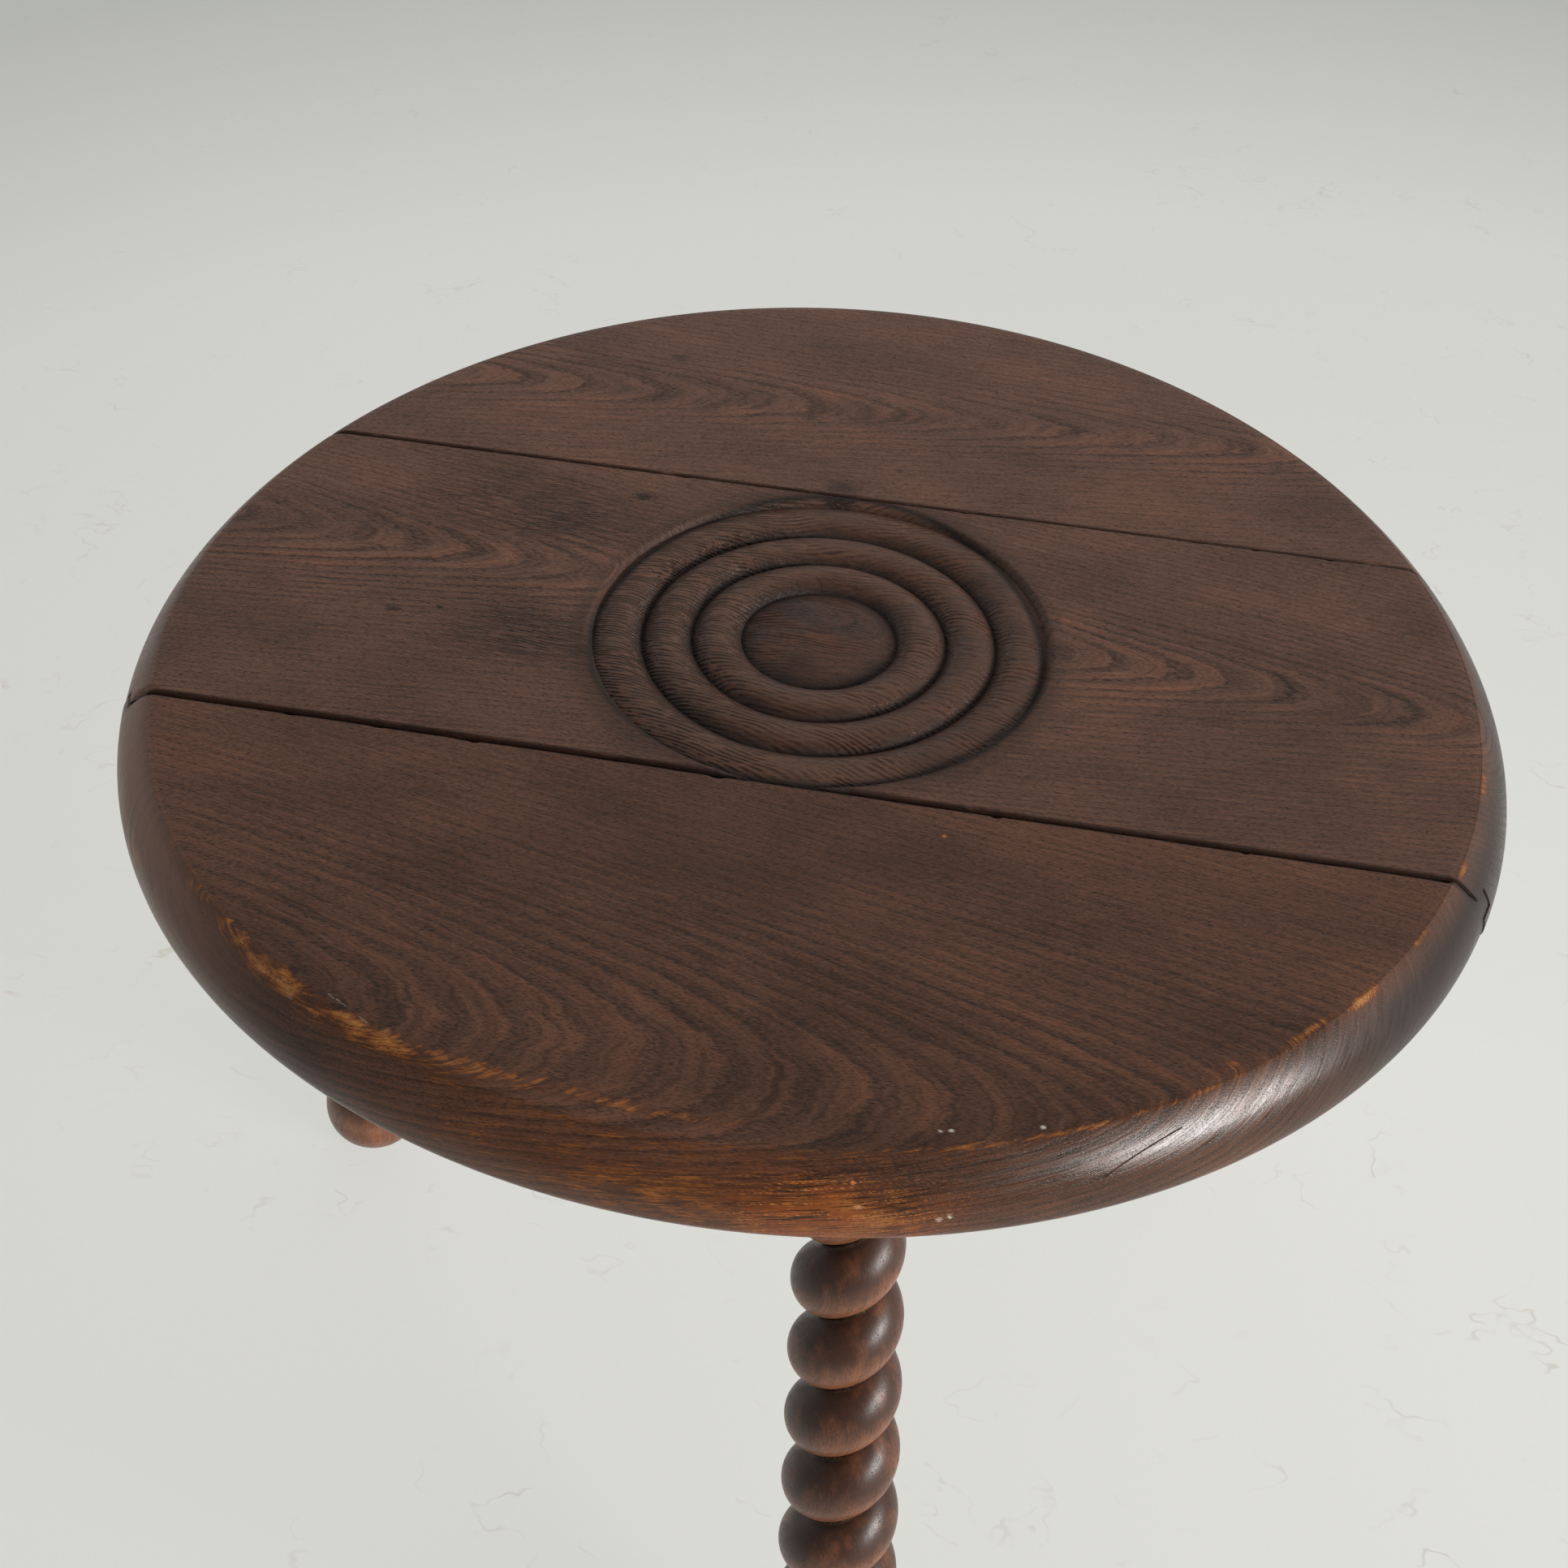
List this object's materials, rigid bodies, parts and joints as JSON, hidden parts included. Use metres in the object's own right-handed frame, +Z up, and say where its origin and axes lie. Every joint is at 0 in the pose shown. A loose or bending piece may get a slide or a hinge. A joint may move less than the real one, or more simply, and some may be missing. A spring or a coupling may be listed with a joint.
{
  "type": "tripod side table",
  "caption": "Low round side table: a jointed oak top with carved round beads in its middle, on splayed rope-twist legs with ball feet.",
  "frame": {"origin": "on the floor, in the middle of the box that the whole table fills; the axis of the round top and of the hub stands 9.1 mm from it along +X and 6.7 mm along +Y", "axes": "+Z up; +X along the boards and their joints; +Y across the boards, from the front board to the rear board"},
  "size_m": [0.6146, 0.6226, 0.52],
  "materials": {
    "board_oak": "dark-stained oak, waxed and worn, open pores, amber where the stain has rubbed off the rim",
    "leg_oak": "stained oak with a satin polish, redder and lighter than the top",
    "bearer_oak": "plain oak, thinly stained, unpolished",
    "peg_oak": "bare riven oak, end grain showing",
    "screw_steel": "dull old steel, slotted countersunk heads"
  },
  "bodies": {
    "root": {"front_board": "board_oak", "middle_board": "board_oak", "rear_board": "board_oak", "hub": "bearer_oak", "arm_front": "bearer_oak", "arm_rear": "bearer_oak", "arm_left": "bearer_oak", "leg_front": "leg_oak", "leg_rear": "leg_oak", "leg_left": "leg_oak", "wedge_front": "peg_oak", "wedge_rear": "peg_oak", "wedge_left": "peg_oak", "peg_front": "peg_oak", "peg_rear": "peg_oak", "peg_left": "peg_oak", "screw_front_inner": "screw_steel", "screw_front_middle": "screw_steel", "screw_front_outer": "screw_steel", "screw_rear_inner": "screw_steel", "screw_rear_middle": "screw_steel", "screw_rear_outer": "screw_steel", "screw_left_inner": "screw_steel", "screw_left_middle": "screw_steel", "screw_left_outer": "screw_steel", "screw_hub_front": "screw_steel", "screw_hub_rear": "screw_steel", "screw_hub_left": "screw_steel"}
  },
  "joints": []
}
